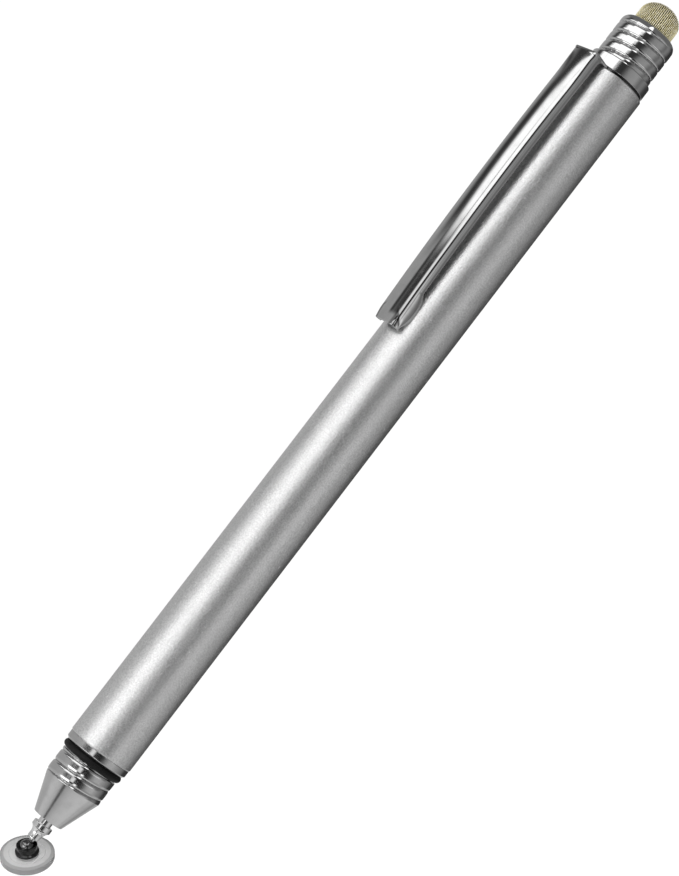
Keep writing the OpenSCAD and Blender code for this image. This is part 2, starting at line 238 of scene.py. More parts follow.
class Signal:
    """One value of a shader, with Python's own arithmetic."""

    def __init__(self, nodes: "Nodes", socket: bpy.types.NodeSocket) -> None:
        """Wraps an output socket."""
        self.nodes = nodes
        self.socket = socket

    def _math(self, operation: str, *terms: "Signal | float") -> "Signal":
        """One Math node on these terms."""
        return self.nodes.add("ShaderNodeMath", {"operation": operation}, dict(enumerate(terms)))

    def __add__(self, other: "Signal | float") -> "Signal":
        """Sum, from either side."""
        return self._math("ADD", self, other)

    def __sub__(self, other: "Signal | float") -> "Signal":
        """Difference."""
        return self._math("SUBTRACT", self, other)

    def __rsub__(self, other: float) -> "Signal":
        """Difference, from the right."""
        return self._math("SUBTRACT", other, self)

    def __mul__(self, other: "Signal | float") -> "Signal":
        """Product, from either side."""
        return self._math("MULTIPLY", self, other)

    def __truediv__(self, other: "Signal | float") -> "Signal":
        """Quotient."""
        return self._math("DIVIDE", self, other)

    __radd__, __rmul__ = __add__, __mul__

    def ramp(self, low: float, high: float) -> "Signal":
        """Runs smoothly from 0 to 1 while the value goes from low to high."""
        return self.nodes.add("ShaderNodeMapRange", {"interpolation_type": "SMOOTHSTEP"},
                              {"Value": self, "From Min": low, "From Max": high})

    def bump_between(self, start: float, end: float, soft: float) -> "Signal":
        """1 between start and end, 0 outside, with soft edges of that width."""
        return self.ramp(start - soft, start + soft) * (1 - self.ramp(end - soft, end + soft))


class Nodes:
    """Adds nodes to one shader."""

    def __init__(self, tree: bpy.types.NodeTree) -> None:
        """Starts from an empty tree."""
        self.tree = tree
        tree.nodes.clear()

    def add(self, kind: str, settings: dict | None = None, inputs: dict | None = None,
            output: int | str = 0) -> Signal:
        """Adds one node.

        Args:
            kind: its type.
            settings: its settings, and under "stops" a ramp's stops.
            inputs: values or links of its sockets, by name or number.
            output: the output that is handed back.

        Returns:
            That output.
        """
        node = self.tree.nodes.new(kind)
        for key, value in (settings or {}).items():
            if key == "stops":
                elements = node.color_ramp.elements
                while len(elements) < len(value):
                    elements.new(1.0)
                for element, (place, colour) in zip(elements, value):
                    element.position = place
                    element.color = colour
            else:
                setattr(node, key, value)
        for key, value in (inputs or {}).items():
            if isinstance(value, Signal):
                self.tree.links.new(value.socket, node.inputs[key])
            else:
                node.inputs[key].default_value = value
        return Signal(self, node.outputs[output]) if node.outputs else None

    def place(self) -> Signal:
        """Where a point is on the object, in metres."""
        return self.add("ShaderNodeTexCoord", output="Object")

    def attribute(self, name: str) -> Signal:
        """The number of that name that a mesh keeps at its points, or 0."""
        return self.add("ShaderNodeAttribute", {"attribute_name": name}, output="Fac")

    def scaled(self, where: Signal, *scale: float) -> Signal:
        """A place scaled by three numbers, one for each axis."""
        return self.add("ShaderNodeMapping", {}, {"Vector": where, "Scale": scale})

    def noise(self, where: Signal, grain: float, detail: float = 2.0) -> Signal:
        """Cloudy noise from 0 to 1.

        Args:
            where: the place it is read at.
            grain: the clouds' size in millimetres.
            detail: the number of finer layers.

        Returns:
            The noise.
        """
        return self.add("ShaderNodeTexNoise", {"noise_dimensions": "3D"}, {
            "Vector": where, "Scale": 1 / (grain * MM), "Detail": detail, "Roughness": 0.55})

    def lines(self, where: Signal, width: float, along: bool = False) -> Signal:
        """Fine lines round the pen, or along it.

        Args:
            where: the place they are read at.
            width: their width in millimetres.
            along: draws them along the pen.

        Returns:
            The lines, from 0 to 1.
        """
        stretch = 60.0
        scale = (1.0, stretch, stretch) if along else (stretch, 1.0, 1.0)
        return self.noise(self.scaled(where, *scale), width * stretch)

    def mix(self, share: Signal | float, low: Signal | Colour, high: Signal | Colour) -> Signal:
        """A colour between two colours."""
        inputs = {0: share, 6: low, 7: high}
        return self.add("ShaderNodeMix", {"data_type": "RGBA"}, inputs, output=2)

    def bump(self, height: Signal, distance: float) -> Signal:
        """The normal of a relief with that depth in millimetres."""
        return self.add("ShaderNodeBump", {}, {"Height": height, "Distance": distance * MM})


@dataclass(frozen=True)
class Finish:
    """One finish: its name and the record's slot it stands for."""

    name: str
    slot: str

    def inputs(self, nodes: Nodes) -> dict:
        """Sets the inputs of the finish's shader, as each kind of finish does in its own way.

        Args:
            nodes: the material's nodes.

        Returns:
            The inputs, by name.
        """
        raise NotImplementedError

    def material(self) -> bpy.types.Material:
        """Makes the material once. Its name is none of the record's slots.

        Returns:
            The material.
        """
        made = bpy.data.materials.get(self.name)
        if made is None:
            made = bpy.data.materials.new(self.name)
            made.use_nodes = True
            nodes = Nodes(made.node_tree)
            surface = nodes.add("ShaderNodeBsdfPrincipled", {}, self.inputs(nodes))
            nodes.add("ShaderNodeOutputMaterial", {}, {"Surface": surface})
        return made


@dataclass(frozen=True)
class BlastedAluminium(Finish):
    """Fine blasted and anodised tube: even grain, a rare bright grain and a cloudy sheen."""

    tone: float = 0.78
    roughness: float = 0.34
    grain: float = 0.2

    def inputs(self, nodes: Nodes) -> dict:
        """Grain in the relief and the gloss, clouds in the colour."""
        where = nodes.place()
        fine = nodes.noise(where, self.grain, 2.0)
        clouds = nodes.noise(where, 7.0, 3.0)
        sparkle = nodes.noise(where, 0.26, 0.0).ramp(0.77, 0.83)
        colour = nodes.mix(fine.ramp(0.32, 0.68), grey(self.tone - 0.1), grey(self.tone + 0.1))
        colour = nodes.mix(clouds.ramp(0.35, 0.75) * 0.4, colour, grey(self.tone - 0.04))
        colour = nodes.mix(sparkle, colour, grey(1.0))
        rough = self.roughness + (fine - 0.5) * 0.12 + (clouds - 0.5) * 0.06 + sparkle * 0.3
        return {"Base Color": colour, "Metallic": 1.0, "Roughness": rough,
                "Normal": nodes.bump(fine, 0.04)}


@dataclass(frozen=True)
class PlatedMetal(Finish):
    """Plated metal: fine turning or polishing lines, smears and a soft change of tone."""

    tone: float = 0.55
    roughness: float = 0.08
    line: float = 0.05
    line_depth: float = 0.0006
    along: bool = False
    smear: float = 0.05

    def inputs(self, nodes: Nodes) -> dict:
        """Lines go round the pen, or along it where it was polished along. Painted shade darkens
        it where the mesh marks it.
        """
        where = nodes.place()
        lines = nodes.lines(where, self.line, self.along)
        smears = nodes.noise(where, 1.6, 4.0)
        colour = nodes.mix(smears.ramp(0.3, 0.8), grey(self.tone + 0.02), grey(self.tone - 0.03))
        # Painted shade: where the mesh marks it, the colour falls to 0.12 of the tone.
        colour = nodes.mix(nodes.attribute("grime"), colour, grey(self.tone * 0.12))
        rough = self.roughness + smears.ramp(0.45, 0.8) * self.smear + lines * 0.03
        return {"Base Color": colour, "Metallic": 1.0, "Roughness": rough,
                "Normal": nodes.bump(lines, self.line_depth)}


@dataclass(frozen=True)
class ClearPlastic(Finish):
    """Clear moulded plastic with a faint haze and fine handling marks."""

    haze: float = 0.06

    def inputs(self, nodes: Nodes) -> dict:
        """Mostly see-through, with painted shade darkening the sloping border, and marks in the
        gloss.
        """
        marks = nodes.noise(nodes.place(), 0.5, 4.0)
        face = nodes.mix(marks, grey(0.74), grey(0.84))
        # Painted shade: where the mesh marks the border the colour falls to a dark grey.
        return {"Base Color": nodes.mix(nodes.attribute("border"), face, grey(0.46)),
                "Roughness": self.haze + marks * 0.08, "IOR": 1.49, "Transmission Weight": 0.55,
                "Normal": nodes.bump(marks, 0.003)}


@dataclass(frozen=True)
class MouldedRubber(Finish):
    """Black moulded rubber with a bloom of fine dust."""

    tone: float = 0.003

    def inputs(self, nodes: Nodes) -> dict:
        """A matt skin, a little lighter where it is rubbed."""
        where = nodes.place()
        skin = nodes.noise(where, 0.12, 3.0)
        rubbed = nodes.noise(where, 1.4, 2.0)
        colour = nodes.mix(rubbed.ramp(0.4, 0.8) * 0.6, grey(self.tone), grey(self.tone * 3))
        return {"Base Color": colour, "Roughness": 0.45 + skin * 0.25, "Specular IOR Level": 0.25,
                "Normal": nodes.bump(skin, 0.006)}


@dataclass(frozen=True)
class TurnedBrass(Finish):
    """Brass as it comes off the lathe."""

    def inputs(self, nodes: Nodes) -> dict:
        """Turning lines and a little tarnish."""
        where = nodes.place()
        lines = nodes.lines(where, 0.1)
        tarnish = nodes.noise(where, 1.2, 4.0).ramp(0.3, 0.75)
        colour = nodes.mix(tarnish, (0.74, 0.56, 0.27, 1.0), (0.50, 0.36, 0.17, 1.0))
        return {"Base Color": colour, "Metallic": 1.0, "Roughness": 0.22 + lines * 0.2,
                "Normal": nodes.bump(lines, 0.004)}


@dataclass(frozen=True)
class FibreKnit(Finish):
    """Knitted conductive yarn: gold and silver threads with dark gaps between them."""

    def inputs(self, nodes: Nodes) -> dict:
        """The yarn attribute is 1 on top of a stitch and 0 in a gap. Strands run along the pen."""
        where = nodes.place()
        yarn = nodes.attribute("yarn")
        strands = nodes.noise(nodes.scaled(where, 1 / 3, 1.0, 1.0), 0.05, 1.0)
        patches = nodes.noise(where, 0.35).ramp(0.35, 0.65)
        gold = nodes.mix(patches, (0.70, 0.62, 0.32, 1.0), (0.97, 0.90, 0.65, 1.0))
        covered = (yarn + (strands - 0.5) * 0.3).ramp(0.22, 0.7)
        return {"Base Color": nodes.mix(covered, (0.02, 0.016, 0.005, 1.0), gold),
                "Metallic": yarn.ramp(0.5, 0.9) * 0.4, "Roughness": 0.5 - yarn * 0.15,
                "Normal": nodes.bump(strands, 0.008)}


@dataclass(frozen=True)
class PaleFloor(Finish):
    """Plain pale studio floor."""

    def inputs(self, nodes: Nodes) -> dict:
        """Nearly white, with the faintest clouds."""
        clouds = nodes.noise(nodes.place(), 90.0, 2.0)
        return {"Base Color": nodes.mix(clouds, grey(0.05), grey(0.06)), "Roughness": 0.8,
                "Specular IOR Level": 0.0, "Emission Color": grey(1.0), "Emission Strength": 1.0}


ALUMINIUM = BlastedAluminium("blasted_aluminium", "satin_aluminium")
CLIP_STEEL = PlatedMetal("clip_steel", "polished_steel", tone=0.52, roughness=0.05, along=True,
                         line=0.06, line_depth=0.0003)
STEM_STEEL = PlatedMetal("stem_steel", "polished_steel", tone=0.84, roughness=0.10)
# Painted shade: the hub's polished steel is nearly black, standing in for the dark surroundings it
# reflects; only its brightest reflections still show.
DARK_PAINTED_HUB = PlatedMetal("hub_painted_dark", "polished_steel", tone=0.055, roughness=0.03)
NOSE_CHROME = PlatedMetal("nose_chrome", "satin_chrome", tone=0.56, roughness=0.11, smear=0.12)
COLLAR_CHROME = PlatedMetal("collar_chrome", "bright_chrome", tone=0.56, roughness=0.06)
RUBBER = MouldedRubber("ring_rubber", "black_rubber")
BRASS = TurnedBrass("lathe_brass", "turned_brass")
KNIT = FibreKnit("gilt_knit", "fibre_knit")
CLEAR = ClearPlastic("disc_plastic", "clear_plastic")


class Body(Enum):
    """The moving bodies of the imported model."""

    BARREL = "barrel"
    STEM = "stem"
    DISC = "disc"
    CLIP = "clip"


@dataclass
class Piece:
    """One finished piece and what it stands for."""

    name: str
    surface: Surface
    finish: Finish
    nodes: tuple[str, ...]
    body: Body = Body.BARREL
    crease: float = 32.0
    values: dict[str, Array] | None = None
    blends_to: Body | None = None
    blend_from: float = 0.0
    blend_until: float = 0.0
    stuffed: bool = False

    def build(self) -> None:
        """Makes the piece and dresses it. A piece without a body to blend to is handed to its
        body; any other keeps its place in the world.
        """
        thing = self.surface.to_object(self.name, self.crease, self.values)
        thing.data.materials.append(self.finish.material())
        if self.blends_to is None:
            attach(thing, self.body.value)
        else:
            self.blend_from * MM
            self.blend_until * MM
            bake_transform(thing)
        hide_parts(*self.nodes)
        LOG.info("%s: %d points, for %s",
                 self.name, len(thing.data.vertices), ", ".join(self.nodes))


@dataclass(frozen=True)
class CoarseThread:
    """Coarse right-handed cap thread with wide rounded crests and narrow valleys."""

    crest_r: float = 3.97
    pitch: float = 1.47
    depth: float = 0.26
    start: float = 0.0
    fullness: float = 3.4

    def radius(self, x: Array, angle: Array) -> Array:
        """Radius of the thread: the crest less the valley.

        With t the distance from the crest's middle, 0 to 1, the valley's share of the full depth
        is 1 less the root of 1 less t to the fullness.

        Args:
            x: stations.
            angle: angles.

        Returns:
            The radii.
        """
        turns = (x - self.start) / self.pitch - angle / (2 * math.pi)
        t = np.abs(2 * (turns - np.floor(turns)) - 1)
        return self.crest_r - self.depth * (1 - np.sqrt(1 - 0.985 * t ** self.fullness))


# The swivelling disc and its ball stem


@dataclass
class SwivelDisc:
    """Clear disc, its riveted metal hub and the ball stem that carries it."""

    ball_x: float = -10.94
    ball_r: float = 0.95
    socket_r: float = 0.97
    tilt: float = 49.0
    lean: float = 8.0
    disc_r: float = 3.4
    disc_t: float = 1.1
    edge_r: float = 0.35
    border_w: float = 0.45
    border_fall: float = 0.12
    ring_at: float = 2.15
    ring_w: float = 0.16
    ring_t: float = 0.05
    gap: float = 0.01
    ball_rise: float = 0.85
    hub_base_r: float = 1.52
    hub_rim_r: float = 1.32
    mouth_r: float = 1.12
    rim_rise: float = 0.34
    throat_rise: float = 0.25
    rivet_r: float = 1.0
    foot_r: float = 1.4
    foot_t: float = 0.3
    neck_r: float = 0.38
    shoulder_x: float = -9.69
    stem_r: float = 0.84
    flare_x: float = -9.04
    collar_x: float = -8.16
    collar_r: float = 1.32
    collar_end: float = -7.51
    shank_r: float = 0.91
    shank_end: float = 1.49

    def axes(self) -> Array:
        """The disc's own directions.

        Returns:
            Its axis, the tilt's hinge line and their cross product, one row each.
        """
        tilt, lean = math.radians(self.tilt), math.radians(self.lean)
        axis = np.array([math.cos(tilt), math.sin(tilt) * math.cos(lean),
                         math.sin(tilt) * math.sin(lean)])
        hinge = np.array([0.0, -math.sin(lean), math.cos(lean)])
        return np.stack([axis, hinge, np.cross(axis, hinge)])

    def in_place(self, profile: Array, steps: int) -> Surface:
        """Turns a profile about X and carries it to the disc's own axis, through the ball."""
        turned = Surface.turned(profile, steps)
        return Surface(turned.points @ self.axes() + [self.ball_x, 0.0, 0.0], turned.quads)

    def disc(self) -> Surface:
        """Turned plate: rounded lower edge, sloping border, fine ring and stepped hole.

        Returns:
            The surface.
        """
        top, under = -self.ball_rise, -self.ball_rise - self.disc_t
        hole, recess, step = self.rivet_r + self.gap, self.foot_r + self.gap, 2 * self.gap
        profile = outline([
            (under, recess, 0.02), (under, self.disc_r, self.edge_r),
            (top - self.border_fall, self.disc_r, 0.09), (top, self.disc_r - self.border_w, 0.12),
            (top, self.ring_at + self.ring_w, 0.04),
            (top - self.ring_t, self.ring_at + self.ring_w / 2, 0.03),
            (top, self.ring_at, 0.04), (top, hole, 0.0), (under + self.foot_t + step, hole, 0.0),
            (under + self.foot_t + step, recess, 0.0)], closed=True, arc_points=9)
        return self.in_place(profile, 256)

    def hub(self) -> Surface:
        """Turned cup: foot, shank, base flange, waist, rim, funnel mouth and ball socket.

        Returns:
            The surface.
        """
        top, under = -self.ball_rise, -self.ball_rise - self.disc_t + self.gap
        throat = math.sqrt(self.socket_r ** 2 - self.throat_rise ** 2)
        cup = outline([
            (under, 0.0, 0.0), (under, self.foot_r, 0.04), (under + self.foot_t, self.foot_r, 0.0),
            (under + self.foot_t, self.rivet_r, 0.0), (top, self.rivet_r, 0.0),
            (top, self.hub_base_r, 0.05), (top + 0.24, self.hub_base_r - 0.02, 0.07),
            (top + 0.42, self.hub_base_r - 0.24, 0.1), (self.rim_rise - 0.32, self.hub_rim_r, 0.1),
            (self.rim_rise, self.hub_rim_r, 0.09), (self.rim_rise, self.mouth_r, 0.05),
            (self.throat_rise, throat, 0.0)])
        turn = np.linspace(math.acos(self.throat_rise / self.socket_r), math.pi, 28)[1:]
        socket = self.socket_r * rows(np.cos(turn), np.sin(turn))
        socket[-1, 1] = 0.0
        return self.in_place(np.vstack([cup, socket]), 128)

    def stem(self) -> Surface:
        """Turned stem: ball, neck, shoulder, trumpet flare, collar and shank.

        Returns:
            The surface.
        """
        turn = np.linspace(math.pi, math.asin(self.neck_r / self.ball_r), 30)
        ball = rows(self.ball_x + self.ball_r * np.cos(turn), self.ball_r * np.sin(turn))
        ball[0, 1] = 0.0
        grow, length = self.collar_r - self.stem_r, self.collar_x - self.flare_x
        sweep = 2 * math.atan(grow / length)
        flare_r = length / math.sin(sweep)
        turn = np.linspace(0, sweep, 12)
        flare = rows(self.flare_x + flare_r * np.sin(turn),
                     self.stem_r + flare_r * (1 - np.cos(turn)))
        front = outline([
            (ball[-1, 0], self.neck_r, 0.0), (self.shoulder_x, self.neck_r, 0.06),
            (self.shoulder_x, self.stem_r, 0.07), (self.flare_x, self.stem_r, 0.0)])
        rear = outline([
            (self.collar_x, self.collar_r, 0.0), (self.collar_end, self.collar_r, 0.06),
            (self.collar_end, self.shank_r, 0.03), (self.shank_end - 0.3, self.shank_r, 0.05),
            (self.shank_end, self.shank_r * 2 / 3, 0.05), (self.shank_end, 0.0, 0.0)])
        return Surface.turned(np.vstack([ball, front[1:-1], flare, rear[1:]]), 128, closed=False)

    def pieces(self) -> Iterator[Piece]:
        """The disc with its border marked for painted shade, its hub, and the stem with painted
        shade on its neck.
        """
        disc, stem = self.disc(), self.stem()
        offset = np.cross(disc.points - [self.ball_x, 0.0, 0.0], self.axes()[0])
        # Where the painted shade of the disc's sloping border lies
        border = np.linalg.norm(offset, axis=1) - self.disc_r + self.border_w
        border = smooth((border + 0.1) / 0.2)
        # Painted shade: the neck and ball darken towards the ball, where they sit in the shade of
        # the hub's mouth.
        grime = 0.9 * (1 - smooth((stem.points[:, 0] - self.shoulder_x + 0.35) / 0.25))
        yield Piece("clear_disc", disc, CLEAR, ("disc",), Body.DISC, 50, {"border": border})
        yield Piece("swivel_hub", self.hub(), DARK_PAINTED_HUB, ("disc_hub",), Body.DISC, 40)
        yield Piece("ball_stem", stem, STEM_STEEL, ("tip_stem",), Body.STEM, 40, {"grime": grime})


# The nose, its seal ring and the barrel


@dataclass
class Nose:
    """Cone, cap thread, ring groove, band and screwed spigot, with the rubber seal ring."""

    tip_x: float = -6.71
    tip_r: float = 2.08
    seat_front: float = -1.68
    seat_rear: float = 1.68
    base_r: float = 3.92
    groove_r: float = 3.28
    band_x: float = 2.87
    band_r: float = 4.42
    band_bevel: float = 0.25
    barrel_x: float = 3.98
    spigot_r: float = 3.0
    spigot_end: float = 11.98
    bush_x: float = -5.21
    bush_r: float = 1.8
    hole_r: float = 0.93
    ring_r: float = 3.8
    ring_section: float = 0.5
    thread_run_in: float = 1.0
    thread: CoarseThread = CoarseThread(start=-0.06, pitch=1.5, fullness=4.4)

    def cone_at(self, x: Array | float) -> Array | float:
        """Radius of the cone, carried on past its base."""
        slope = (self.base_r - self.tip_r) / (self.seat_front - self.tip_x)
        return self.tip_r + (x - self.tip_x) * slope

    def radius(self, x: Array, radius: Array, angle: Array) -> Array:
        """The lower of the plain profile, and in the cap seat the cone and the thread.

        Args:
            x: stations.
            radius: the plain profile's radii.
            angle: angles.

        Returns:
            The radii.
        """
        cut = np.minimum(self.cone_at(x), self.thread.radius(x, angle))
        zone = (x > self.seat_front - self.thread_run_in) & (x < self.seat_rear + 0.001)
        return np.where(zone & (radius > self.groove_r + 0.05), np.minimum(radius, cut), radius)

    def body(self) -> Surface:
        """The nose turned from its profile, with dense stations along the thread.

        Returns:
            The surface.
        """
        run_in = self.seat_front - self.thread_run_in
        front = outline([
            (self.bush_x, self.hole_r, 0.0), (self.tip_x, self.hole_r, 0.06),
            (self.tip_x, self.tip_r, 0.05), (run_in, self.cone_at(run_in), 0.0)])
        seat = rows(np.linspace(self.seat_front - 0.96, self.seat_rear, 120), self.thread.crest_r)
        rear = outline([
            (self.seat_rear, self.groove_r + 0.06, 0.0), (self.seat_rear, self.groove_r, 0.05),
            (self.band_x, self.groove_r, 0.05), (self.band_x, self.band_r - self.band_bevel, 0.04),
            (self.band_x + self.band_bevel, self.band_r, 0.06), (self.barrel_x, self.band_r, 0.05),
            (self.barrel_x, self.spigot_r, 0.0), (self.spigot_end, self.spigot_r, 0.1),
            (self.spigot_end, self.bush_r, 0.05), (self.bush_x, self.bush_r, 0.0)])
        return Surface.turned(np.vstack([front, seat, rear]), 216, radius_at=self.radius)

    def ring(self) -> Surface:
        """Rubber ring with a faint mould line: a circle turned round the axis.

        Returns:
            The surface.
        """
        turn = np.linspace(0, 2 * math.pi, 48, endpoint=False)
        r = self.ring_section + 0.008 * np.exp(-((np.abs(turn - math.pi / 2)) / 0.07) ** 2)
        x = self.band_x - self.ring_section + r * np.cos(turn)
        return Surface.turned(rows(x, self.ring_r + r * np.sin(turn)), 224)

    def pieces(self) -> Iterator[Piece]:
        """The nose and the ring."""
        yield Piece("threaded_nose", self.body(), NOSE_CHROME, ("nose_cone",), crease=38)
        yield Piece("rubber_ring", self.ring(), RUBBER, ("seal_ring",))


@dataclass
class Barrel:
    """Drawn aluminium tube with bevelled ends."""

    front_x: float = 3.98
    rear_x: float = 109.85
    outer_r: float = 4.5
    bore_r: float = 4.0
    bevel: float = 0.12

    def tube(self) -> Surface:
        """The wall's outline turned about the axis.

        Returns:
            The surface.
        """
        low = self.outer_r - self.bevel
        profile = outline([
            (self.front_x, self.bore_r, 0.03), (self.front_x, low, 0.03),
            (self.front_x + self.bevel, self.outer_r, 0.05),
            (self.rear_x - self.bevel, self.outer_r, 0.05),
            (self.rear_x, low, 0.03), (self.rear_x, self.bore_r, 0.03)], closed=True)
        return Surface.turned(profile, 288)

    def pieces(self) -> Iterator[Piece]:
        """The tube."""
        yield Piece("barrel_tube", self.tube(), ALUMINIUM, ("barrel",), crease=60)


# The pocket clip


@dataclass
class PocketClip:
    """Folded steel clip: ring, upright wall, bend, bowed channel and two leaf-shaped cheeks."""

    free_x: float = 67.55
    wall_front: float = 109.85
    wall_rear: float = 110.20
    joint_x: float = 109.0
    bow_x: float = 94.70
    bow_r: float = 500.0
    crown_h: float = 7.1
    half_w: float = 2.15
    sheet: float = 0.45
    wall: float = 0.35
    wall_lean: float = 0.27
    depth: float = 1.57
    crown_r: float = 6.0
    fold_r: float = 0.62
    end_fold_r: float = 0.95
    end_fold: float = 1.4
    end_drop: float = 0.085
    end_curl: float = 1.75
    bend_r: float = 0.5
    web_r: float = 0.75
    cheek_x: float = 70.40
    cheek_half: float = 2.6
    cheek_r: float = 3.754
    cheek_low: float = 3.953
    cheek_bulge: float = 0.05
    flange_bulge: float = 0.03
    barrel_r: float = 4.53
    edge_r: float = 0.09
    ring_outer: float = 4.24
    ring_inner: float = 3.01
    dense_until: float = 74.2
    flat_from: float = 4.6
    flat_over: float = 3.0
    lean_over: float = 6.0
    web_low: float = 3.95
    joint_reach: float = 0.6
    # Where the painted shade in the crease at each corner of the free end runs
    crease_x: float = 0.65
    crease_h: float = 2.75
    crease_slope: float = 1.2

    def top(self, x: Array | float) -> Array | float:
        """Height of the bowed crown at a station, before the end's droop."""
        return self.crown_h - self.bow_r + np.sqrt(self.bow_r ** 2 - (x - self.bow_x) ** 2)

    def path(self) -> dict[str, Array]:
        """Stations of the section on its way from the free end to the ring.

        Returns:
            In side view the crown's point, its normal into the sheet and the edge's point. The
            section's radii and its sheet's thickness. The inset of both skins at the rounded end.
        """
        quarter = math.pi / 2
        round_in = np.linspace(0, quarter, 5)[:-1]
        x = np.concatenate([
            self.free_x + self.edge_r * (1 - np.cos(round_in)),
            np.linspace(self.free_x + self.edge_r, self.dense_until, 76)[:-1],
            np.linspace(self.dense_until, self.wall_front - self.web_r, 40)])
        inset = np.zeros_like(x)
        inset[:4] = self.edge_r * (1 - np.sin(round_in))
        drop = self.end_drop * np.clip(1 - (x - self.free_x) / self.end_curl, 0, 1) ** 2
        lean = (x - self.bow_x) / self.bow_r
        crown = rows(x, self.top(x) - drop)
        inward = -rows(np.sin(lean), np.cos(lean))
        edge = crown + self.depth * inward
        edge[:, 1] += drop
        from_cheek = edge[:, 0] - self.cheek_x
        dip = self.cheek_low + self.cheek_r - np.sqrt(
            np.maximum(self.cheek_r ** 2 - from_cheek ** 2, 0.01))
        dip = np.where(np.abs(from_cheek) < self.cheek_half + 0.3, dip, 9.0)
        soft = 0.09
        edge[:, 1] = -soft * np.log(np.exp(-edge[:, 1] / soft) + np.exp(-dip / soft))
        fold_r = self.fold_r + (self.end_fold_r - self.fold_r) * smooth(
            1 - (x - self.free_x) / self.end_fold)
        flattening = np.clip((x - self.wall_rear + self.flat_from) / self.flat_over, 0, 2)
        crown_r = self.crown_r * (1 + flattening ** 2)

        bend_x = self.wall_rear - self.bend_r
        pivot = np.array([bend_x, self.top(bend_x) - self.bend_r])
        web_centre = np.array([self.wall_front - self.web_r, edge[-1, 1] - self.web_r])
        over = np.linspace(web_centre[0], bend_x, 5)[1:]
        turn = np.linspace(0, quarter, 13)[1:]
        down = np.linspace(pivot[1], web_centre[1], 6)[1:]
        low = np.linspace(web_centre[1], self.web_low, 4)[1:]
        wall = np.concatenate([down, low])
        root_crown = np.vstack([
            rows(over, self.top(over)), pivot + self.bend_r * rows(np.sin(turn), np.cos(turn)),
            rows(self.wall_rear, wall)])
        angle = np.concatenate([0 * over, turn, np.full_like(wall, quarter)])
        flat = np.sin(angle)
        web = np.linspace(quarter, 0, len(over) + len(turn) + len(down) + 1)[1:]
        root_edge = np.vstack([web_centre + self.web_r * rows(np.cos(web), np.sin(web)),
                               rows(self.wall_front, low)])
        for points in (crown, root_crown, edge, root_edge):
            near_root = smooth((points[:, 0] - self.wall_front + self.lean_over) / self.lean_over)
            height = (points[:, 1] - self.ring_outer) / (self.crown_h - self.ring_outer)
            points[:, 0] += self.wall_lean * near_root * np.clip(height, 0, 1)
        return {
            "crown": np.vstack([crown, root_crown]),
            "inward": np.vstack([inward, -rows(flat, np.cos(angle))]),
            "edge": np.vstack([edge, root_edge]),
            "crown_r": np.concatenate([crown_r, crown_r[-1] / (1 - 0.97 * flat)]),
            "fold_r": np.concatenate([fold_r, self.fold_r - 0.46 * flat]),
            "sheet": self.sheet - (self.sheet - self.wall) * np.concatenate([0 * x, flat]),
            "inset": np.concatenate([inset, 0 * angle])}

    def skin(self, path: dict[str, Array], inner: bool) -> Array:
        """Half of one skin of the section at every station, from the crown's middle to the edge.

        The crown's arc runs into the fold's arc, which ends upright. A slightly bulged flange
        runs on to the edge, where a small arc turns in under the sheet. The inner skin has the
        same arcs, less the sheet's thickness.

        Args:
            path: the stations.
            inner: makes the inner skin.

        Returns:
            Stations by points by three.
        """
        crown_r, fold_r, sheet, inset = (
            path[key][:, None] for key in ("crown_r", "fold_r", "sheet", "inset"))
        shrink = sheet - inset if inner else inset
        z_low = self.half_w - shrink
        centre_z = self.half_w - fold_r
        centre_d = crown_r - np.sqrt((crown_r - fold_r) ** 2 - centre_z ** 2)
        reach = np.arcsin(centre_z / (crown_r - fold_r))
        sweep = reach * np.linspace(0, 1, 14)
        fold = reach + (math.pi / 2 - reach) * np.linspace(0, 1, 15)[1:]
        corner = np.maximum(fold_r - shrink, 0.03)
        down = np.hstack([crown_r - (crown_r - shrink) * np.cos(sweep),
                          centre_d - corner * np.cos(fold)])
        out = np.hstack([(crown_r - shrink) * np.sin(sweep),
                         z_low - corner + corner * np.sin(fold)])
        side = path["crown"][:, None] + down[..., None] * path["inward"][:, None]
        start, edge = side[:, -1:], path["edge"][:, None].copy()
        barrel = np.sqrt(np.maximum(self.barrel_r ** 2 - z_low ** 2, 0.0))
        near = np.abs(edge[..., 0] - self.cheek_x) < self.cheek_half + 0.5
        edge[..., 1] = np.where(near, np.maximum(edge[..., 1], barrel), edge[..., 1])
        run = edge - start
        length = np.linalg.norm(run, axis=-1, keepdims=True)
        ahead = run / np.maximum(length, 1e-6)
        rounding = np.minimum(self.edge_r, 0.45 * length)
        along = np.linspace(0, 1, 12)[1:]
        flange = start + ahead * (length - rounding) * along[:, None]
        curl = np.linspace(0, math.pi / 2, 5)[1:]
        under = edge - ahead * rounding * (1 - np.sin(curl[:, None]))
        way = 1.0 if inner else -1.0
        leaf = ((path["edge"][:, :1] - self.cheek_x) / self.cheek_half) ** 2
        bulge = self.flange_bulge + self.cheek_bulge * np.sqrt(np.clip(1 - leaf, 0, 1))
        z = np.hstack([out, z_low + bulge * np.sin(math.pi * along),
                       z_low + way * rounding[..., 0] * (1 - np.cos(curl))])
        return np.concatenate([np.hstack([side, flange, under]), z[..., None]], axis=-1)

